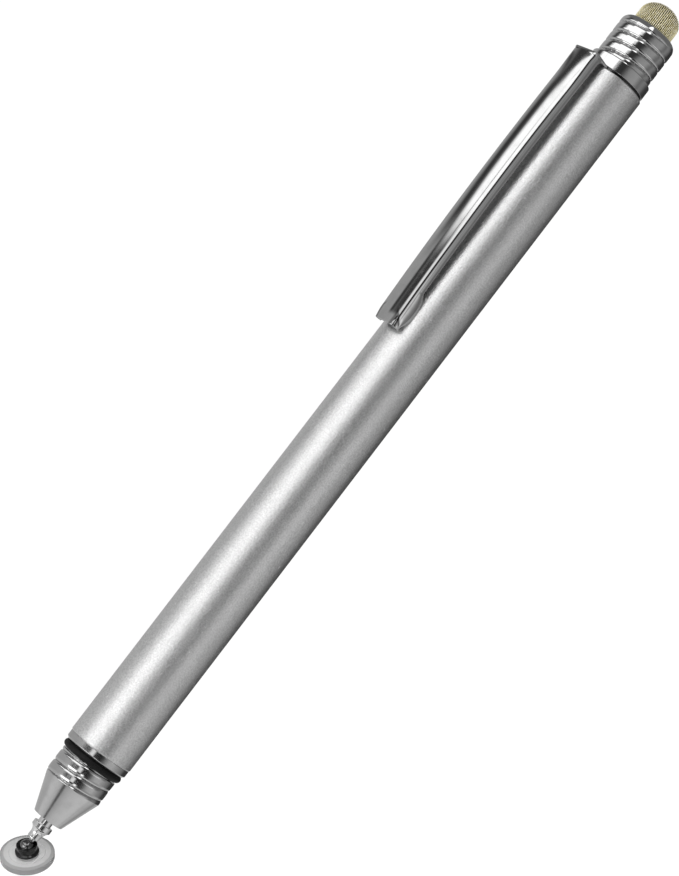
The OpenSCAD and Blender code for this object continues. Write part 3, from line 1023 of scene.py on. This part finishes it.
    def steel(self) -> tuple[Surface, Array]:
        """Carries the section along the path, closes its two ends and adds the ring.

        Returns:
            The surface, and its painted shade: 1 on the ring, for the dark line between barrel
            and flange, nearly 1 in the slanting crease at each corner of the free end, else 0.
        """
        path = self.path()
        outer, inner = self.skin(path, inner=False), self.skin(path, inner=True)
        mirror = np.array([1.0, 1.0, -1.0])
        loop = np.hstack([outer, inner[:, ::-1], inner[:, 1:] * mirror, outer[:, :0:-1] * mirror])
        channel = Surface.grid(loop, wrap_columns=True)
        for row in (0, -1):
            for way in (np.ones(3), mirror):
                channel = channel + Surface.grid(np.stack([outer[row] * way, inner[row] * way]))
        ring = Surface.turned(outline([
            (self.wall_front, self.ring_inner, 0.03), (self.wall_front, self.ring_outer, 0.06),
            (self.wall_rear, self.ring_outer, 0.06), (self.wall_rear, self.ring_inner, 0.03)],
            closed=True))
        # Painted shade: the ring stands for the dark line between barrel and flange, and a
        # slanting crease at each corner of the free end, laid out across the line of sight, for
        # the shade in that corner.
        x, y, z = channel.points.T
        height = VIEW_COS * y - VIEW_SIN * np.abs(z)
        line = self.free_x + self.crease_x + (height - self.crease_h) * self.crease_slope
        crease = (np.exp(-((x - line) / 0.2) ** 2) * smooth((height - 2.5) / 0.2)
                  * smooth((4.2 - height) / 0.4))
        corner = (smooth((line - x) / 0.3) * smooth((height - 3.0) / 0.2)
                  * smooth((4.0 - height) / 0.2))
        grime = 0.95 * np.maximum(crease, 0.7 * corner)
        return channel + ring, np.concatenate([grime, np.ones(len(ring.points))])

    def pieces(self) -> Iterator[Piece]:
        """The clip in one piece."""
        steel, grime = self.steel()
        yield Piece("folded_clip", steel, CLIP_STEEL, ("clip_root", "clip_blade"), crease=38,
                    values={"grime": grime}, blends_to=Body.CLIP,
                    blend_from=self.joint_x + self.joint_reach,
                    blend_until=self.joint_x - self.joint_reach)


# The rear collar and the fibre tip


@dataclass
class RearCollar:
    """Flange, cap thread, taper and mouth, with the spigot that clamps the clip."""

    spigot_x: float = 102.2
    flange_x: float = 110.20
    seat_x: float = 111.90
    taper_x: float = 117.05
    mouth_x: float = 118.09
    holder_x: float = 112.39
    flange_r: float = 4.36
    flange_edge: float = 0.24
    spigot_r: float = 3.0
    bore_r: float = 2.86
    rim: float = 0.19
    shank_r: float = 1.51
    seat_r: float = 3.985
    thread: CoarseThread = CoarseThread(start=112.36, pitch=1.46, depth=0.32, fullness=6.0)

    def taper_at(self, x: Array) -> Array:
        """Radius of the end's shoulder, a quarter of a flat oval between taper and mouth.

        Args:
            x: stations.

        Returns:
            The radii.
        """
        t = np.clip((x - self.taper_x) / (self.mouth_x - self.taper_x), 0, 1)
        low = self.bore_r + self.rim
        return low + (self.thread.crest_r - low) * np.sqrt(np.clip(1 - t ** 2.2, 0, 1))

    def radius(self, x: Array, radius: Array, angle: Array) -> Array:
        """The lower of the plain profile, the end's shoulder and the thread, outside the bore.

        Args:
            x: stations.
            radius: the plain profile's radii.
            angle: angles.

        Returns:
            The radii.
        """
        fade = smooth((x - self.taper_x + 0.6) / 0.9)
        thread = self.thread.radius(x, angle)
        cut = np.minimum(thread + (self.thread.crest_r - thread) * fade, self.taper_at(x))
        zone = (x > self.seat_x - 0.001) & (radius > self.bore_r + 0.1)
        return np.where(zone, np.minimum(radius, cut), radius)

    def body(self) -> Surface:
        """The collar turned from its profile, with dense stations along the thread.

        Returns:
            The surface.
        """
        front = outline([
            (self.spigot_x, self.shank_r, 0.05), (self.spigot_x, self.spigot_r, 0.1),
            (self.flange_x, self.spigot_r, 0.0), (self.flange_x, self.flange_r, 0.04),
            (self.seat_x, self.flange_r, self.flange_edge), (self.seat_x, self.seat_r, 0.0)],
            arc_points=10)
        shoulder = np.sin(np.linspace(0, math.pi / 2, 30))
        x = np.concatenate([np.linspace(self.seat_x, self.taper_x, 120)[:-1],
                            self.taper_x + (self.mouth_x - self.taper_x) * shoulder])
        rear = outline([
            (self.mouth_x, self.bore_r + self.rim, 0.0), (self.mouth_x, self.bore_r, 0.04),
            (self.holder_x, self.bore_r, 0.0), (self.holder_x, self.shank_r, 0.0),
            (self.spigot_x, self.shank_r, 0.0)])
        seat = rows(np.maximum.accumulate(x), self.thread.crest_r)
        return Surface.turned(np.vstack([front[1:], seat, rear]), 216, radius_at=self.radius)

    def pieces(self) -> Iterator[Piece]:
        """The collar."""
        yield Piece("threaded_collar", self.body(), COLLAR_CHROME, ("rear_collar",), crease=38)


@dataclass
class FibreTip:
    """Knitted cap drawn over a rubber core."""

    sleeve_x: float = 112.42
    sleeve_end: float = 113.86
    neck_x: float = 114.09
    visible_x: float = 117.5
    dome_x: float = 119.74
    end_x: float = 121.87
    outer_r: float = 2.83
    sleeve_r: float = 2.09
    fabric: float = 0.23
    wale: float = 0.25
    course: float = 0.6
    relief: float = 0.12
    stud_r: float = 1.11
    core_x: float = 114.32
    stud_end: float = 117.75

    def dome(self, radius: float, height: float, steps: int) -> Array:
        """Quarter of an ellipse from the side to the tip.

        Args:
            radius: its radius.
            height: how far it stands out.
            steps: its points.

        Returns:
            Stations and radii, one row each.
        """
        turn = np.linspace(0, math.pi / 2, steps)
        points = rows(self.dome_x + height * np.sin(turn), radius * np.cos(turn))
        points[-1, 1] = 0.0
        return points

    def stitches(self, points: Array) -> Array:
        """Height of the yarn, 0 in the gaps and 1 on top of a stitch.

        Wales run along the pen and stay parallel over the dome: they follow the angle whose sine
        is the offset across the line of sight over the tip's radius. Courses follow the station,
        and over the dome the angle up from its base. A wale is a rounded ridge, and its courses
        are short swells that lean one way and then the other.

        Args:
            points: places on the cap.

        Returns:
            The heights.
        """
        x, y, z = np.moveaxis(points, -1, 0)
        across, deep = VIEW_COS * y - VIEW_SIN * z, VIEW_SIN * y + VIEW_COS * z
        rise = np.arctan2(np.maximum(x - self.dome_x, 0), np.abs(deep) + 1e-9)
        a = np.minimum(x, self.dome_x) + self.outer_r * rise
        b = self.outer_r * np.arcsin(np.clip(across / self.outer_r, -1, 1)) / self.wale
        wander = 0.16 * np.sin(a * 3.1 + np.floor(b + 0.5) * 1.7)
        b = b + wander * 0.35
        ridge = np.abs(np.cos(math.pi * b))
        slant = 0.9 * np.abs((b - np.floor(b)) - 0.5)
        phase = a / self.course + 0.5 * (np.floor(b) % 2) + slant
        swell = 0.5 + 0.5 * np.cos(2 * math.pi * phase)
        return np.clip((ridge - 0.45) / 0.55, 0, 1) ** 0.7 * (0.7 + 0.3 * swell)

    def fabric_cap(self) -> tuple[Surface, Array]:
        """The knitted cap: sleeve, neck, side and dome outside, and a plain skin inside.

        Returns:
            The surface and the yarn's height at every point.
        """
        steps = 480
        inner_r, inner_low = self.outer_r - self.fabric, self.sleeve_r - self.fabric
        height, inner_x = self.end_x - self.dome_x, self.core_x - 0.03
        outside = np.vstack([
            [(self.sleeve_x, self.sleeve_r), (self.sleeve_end, self.sleeve_r),
             (self.neck_x, self.outer_r)],
            rows(np.linspace(self.visible_x, self.dome_x, 58)[:-1], self.outer_r),
            self.dome(self.outer_r, height, 110)])
        inside = [(inner_x, inner_r), (inner_x, inner_low), (self.sleeve_x, inner_low)]
        under = self.dome(inner_r, height - self.fabric, 16)[::-1]
        cap = Surface.turned(np.vstack([outside, under, inside]), steps)
        points = cap.points.reshape(-1, steps, 3)
        yarn = np.zeros(points.shape[:2])
        shown = slice(3, len(outside))
        x = points[shown, :, 0]
        yarn[shown] = self.stitches(points[shown])
        fade = smooth((x - self.visible_x) / 0.3)
        slope = points[shown] / self.outer_r ** 2
        slope[..., 0] = np.maximum(x - self.dome_x, 0) / height ** 2
        slope /= np.linalg.norm(slope, axis=-1, keepdims=True)
        points[shown] += slope * ((yarn[shown] - 1) * self.relief * fade)[..., None]
        points[len(outside) - 1] = points[len(outside) - 1].mean(axis=0)
        return Surface(points.reshape(-1, 3), cap.quads), yarn.ravel()

    def core(self) -> Surface:
        """Rubber core with a blind hole for the holder's stud.

        Returns:
            The surface.
        """
        dome = self.dome(self.outer_r - self.fabric - 0.01,
                         self.end_x - self.dome_x - self.fabric - 0.01, 24)
        return Surface.turned(np.vstack([
            [(self.core_x, self.stud_r), (self.core_x, dome[0, 1])], dome,
            [(self.stud_end, 0.0), (self.stud_end, self.stud_r)]]), 96)

    def pieces(self) -> Iterator[Piece]:
        """The cap and the core."""
        cap, yarn = self.fabric_cap()
        yield Piece("knitted_cap", cap, KNIT, ("tip_fabric",), crease=180, values={"yarn": yarn},
                    stuffed=True)
        yield Piece("rubber_core", self.core(), RUBBER, ("tip_core",))


# The studio


# Where three of the belts of light begin: dim below the far horizon
FAR_SIDE: Levels = ((-180, 0.05), (-140, 0.05), (-133, 0.12))


@dataclass
class Studio:
    """Pale floor, soft light from all round and the camera at the photograph's angle."""

    target: tuple[float, float, float] = (0.0529, 0.0, 0.0)
    distance: float = 0.330
    floor_z: float = -4.5
    wall_r: float = 1700.0
    lens: float = 108.12
    along: float = 3.75
    off_vertical: float = 40.0
    roll: tuple[float, float] = (0.6079, 0.7941)
    gain: float = 4.0
    past_nose: Levels = (
        (-180, 0.35), (-150, 0.6), (-58, 0.66), (-42, 0.78), (-25, 0.78), (0, 0.66), (9, 0.5),
        (15, 0.12), (22, 0.12), (29, 0.5), (50, 0.62), (70, 0.7), (120, 0.78), (145, 0.78),
        (160, 0.62), (173, 0.48), (180, 0.4))
    beside_nose: Levels = (
        (-180, 0.35), (-150, 0.55), (-58, 0.60), (-40, 0.62), (-14, 0.66), (-9, 3.0), (26, 3.0),
        (30, 0.06), (46, 0.06), (49, 2.0), (57, 2.0), (60, 0.06), (76, 0.06), (88, 0.40),
        (125, 0.45), (145, 0.55), (160, 0.65), (173, 0.50), (180, 0.4))
    at_nose: Levels = FAR_SIDE + (
        (-127, 0.45), (-47, 0.50), (-14, 0.58), (-4, 0.35), (2, 0.10), (18, 0.05), (26, 0.08),
        (30, 1.2), (40, 1.2), (45, 0.02), (66, 0.02), (78, 0.10), (88, 0.36), (98, 0.56),
        (120, 0.62), (130, 0.50), (147, 0.34), (163, 0.22), (178, 0.06))
    at_middle: Levels = FAR_SIDE + (
        (-127, 0.48), (-47, 0.51), (-42, 0.06), (-38, 0.06), (-34, 0.14), (-29, 0.07),
        (-20, 0.04), (-12, 1.35), (28, 1.35), (34, 0.04), (66, 0.04), (76, 0.5), (90, 1.1),
        (111, 1.25), (120, 0.5), (127, 0.28), (147, 0.32), (163, 0.22), (178, 0.06))
    at_rear: Levels = FAR_SIDE + (
        (-127, 0.50), (-72, 0.50), (-64, 0.30), (-57, 0.06), (-48, 0.06), (-42, 0.22),
        (-38, 1.0), (-32, 1.9), (30, 1.9), (34, 0.3), (38, 0.05), (62, 0.05), (70, 0.16),
        (82, 0.36), (98, 0.42), (117, 0.44), (128, 0.30), (138, 0.20), (152, 0.30),
        (163, 0.24), (178, 0.08))

    def camera(self) -> None:
        """Long lens, looking down on the pen's clip side, rolled as the photograph is."""
        tilt, aside = math.radians(self.along), math.radians(self.off_vertical)
        x, side = np.array([1.0, 0.0, 0.0]), np.array([0.0, math.sin(aside), math.cos(aside)])
        back = -math.sin(tilt) * x + math.cos(tilt) * side
        pen = (x + math.sin(tilt) * back) / math.cos(tilt)
        athwart = np.cross(back, pen)
        right = self.roll[0] * pen - self.roll[1] * athwart
        up = self.roll[1] * pen + self.roll[0] * athwart
        lens = bpy.data.cameras.new("camera")
        lens.lens = self.lens
        lens.sensor_width = 36.0
        lens.clip_start, lens.clip_end = 0.01, 20.0
        thing = add_to_scene("camera", lens)
        turn = Matrix([right.tolist(), up.tolist(), back.tolist()]).transposed().to_4x4()
        place = np.array(self.target) + self.distance * back
        thing.matrix_world = Matrix.Translation(place.tolist()) @ turn
        bpy.context.scene.camera = thing

    def floor(self) -> None:
        """A wide plain floor under the barrel, and a plain wall all round for the camera alone."""
        side = np.linspace(-1800.0, 1800.0, 3)
        floor = Surface.grid(rows(side[:, None] + 53.0, side, self.floor_z))
        turn = np.linspace(0, 2 * math.pi, 25)[:-1, None]
        height = np.linspace(-1, 1, 13)
        reach = self.wall_r * np.sqrt(1 - height ** 2)
        wall = Surface.grid(rows(reach * np.cos(turn), reach * np.sin(turn), self.wall_r * height),
                            wrap_rows=True)
        for name, surface in (("floor", floor), ("wall", wall)):
            thing = surface.to_object(name)
            thing.data.materials.append(PaleFloor("pale_floor", "").material())
            thing.visible_glossy = False
            thing.visible_diffuse = thing.visible_shadow = name == "floor"

    def band(self, nodes: Nodes, degrees: Signal, levels: Levels) -> Signal:
        """One belt of soft boxes: a brightness over the angle about the pen's axis.

        Args:
            nodes: the world's nodes.
            degrees: the angle.
            levels: angles and brightnesses, in order.

        Returns:
            The colour there, before the gain.
        """
        stops = [((place + 180) / 360, grey(level / self.gain)) for place, level in levels]
        return nodes.add("ShaderNodeValToRGB", {"stops": stops}, {0: degrees / 360 + 0.5})

    def sky(self) -> None:
        """Soft boxes all round, in five belts one behind the other along the pen.

        The angle is 0 at the horizon on the clip's side, 90 straight up and 180 at the far
        horizon. The belts follow the direction's part along the pen. Past the rear one the light
        is even, but for one soft box. A broad and a thin dark screen stand low at the rear.
        """
        world = bpy.data.worlds.new("studio")
        world.use_nodes = True
        nodes = Nodes(world.node_tree)
        direction = nodes.add("ShaderNodeTexCoord", output="Generated")
        along, side, up = (nodes.add("ShaderNodeSeparateXYZ", {}, {0: direction}, output=axis)
                           for axis in range(3))
        angle = nodes.add("ShaderNodeMath", {"operation": "ARCTAN2"}, {0: up, 1: side})
        degrees = angle * (180 / math.pi)
        lowered = degrees + along.ramp(0.11, 0.19) * 8 - along.ramp(0.235, 0.255) * 10
        light = self.band(nodes, degrees, self.past_nose)
        for start, end, turned, levels in ((-0.58, -0.50, degrees, self.beside_nose),
                                           (-0.20, -0.15, degrees, self.at_nose),
                                           (-0.02, 0.05, degrees, self.at_middle),
                                           (0.09, 0.14, lowered, self.at_rear)):
            light = nodes.mix(along.ramp(start, end), light, self.band(nodes, turned, levels))
        screen = degrees.bump_between(-60.0, -14.0, 2.0) * along.ramp(0.27, 0.29)
        unlit = grey(0.02)
        light = nodes.mix(screen * 0.85, light, unlit)
        thin = degrees.bump_between(-24.0, -22.0, 0.8) * along.bump_between(0.08, 0.22, 0.05)
        light = nodes.mix(thin * 0.8, light, unlit)
        beyond = nodes.mix(degrees.bump_between(36.0, 54.0, 3.0), grey(0.05), grey(0.6))
        light = nodes.mix(along.ramp(0.42, 0.55), light, beyond)
        glow = nodes.add("ShaderNodeBackground", {}, {"Color": light, "Strength": self.gain})
        nodes.add("ShaderNodeOutputWorld", {}, {"Surface": glow})
        bpy.context.scene.world = world

    def lamp(self) -> None:
        """A broad soft lamp overhead that only lifts the floor."""
        light = bpy.data.lights.new("overhead", "AREA")
        light.shape = "RECTANGLE"
        light.size = light.size_y = 1.2
        light.energy = 7.0
        thing = add_to_scene("overhead", light)
        thing.location = (0.053, 0.0, 1.1)
        thing.visible_glossy = False

    def build(self) -> None:
        """Camera, floor and light."""
        self.camera()
        self.floor()
        self.sky()
        self.lamp()
        bpy.context.scene.view_settings.view_transform = "Standard"


def dress_hidden_nodes(frame: dict) -> None:
    """Gives the nodes that keep their own shape, all inside the pen, their finishes.

    Args:
        frame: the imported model.
    """
    brass = dict.fromkeys(("stem_bush", "front_insert", "rear_insert", "tip_holder"), BRASS)
    for name, finish in {**brass, "crimp_ring": STEM_STEEL}.items():
        thing = frame["nodes"][name]
        thing.data.materials.clear()
        thing.data.materials.append(finish.material())
        LOG.info("%s keeps its shape, finish %s", name, finish.name)


def main() -> None:
    """Builds the pen's sub-assemblies in order, then the studio."""
    logging.basicConfig(level=logging.INFO, format="%(message)s")
    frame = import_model()
    for assembly in (SwivelDisc(), Nose(), Barrel(), PocketClip(), RearCollar(), FibreTip()):
        for piece in assembly.pieces():
            piece.build()
    dress_hidden_nodes(frame)
    Studio().build()


if __name__ == "__main__":
    main()
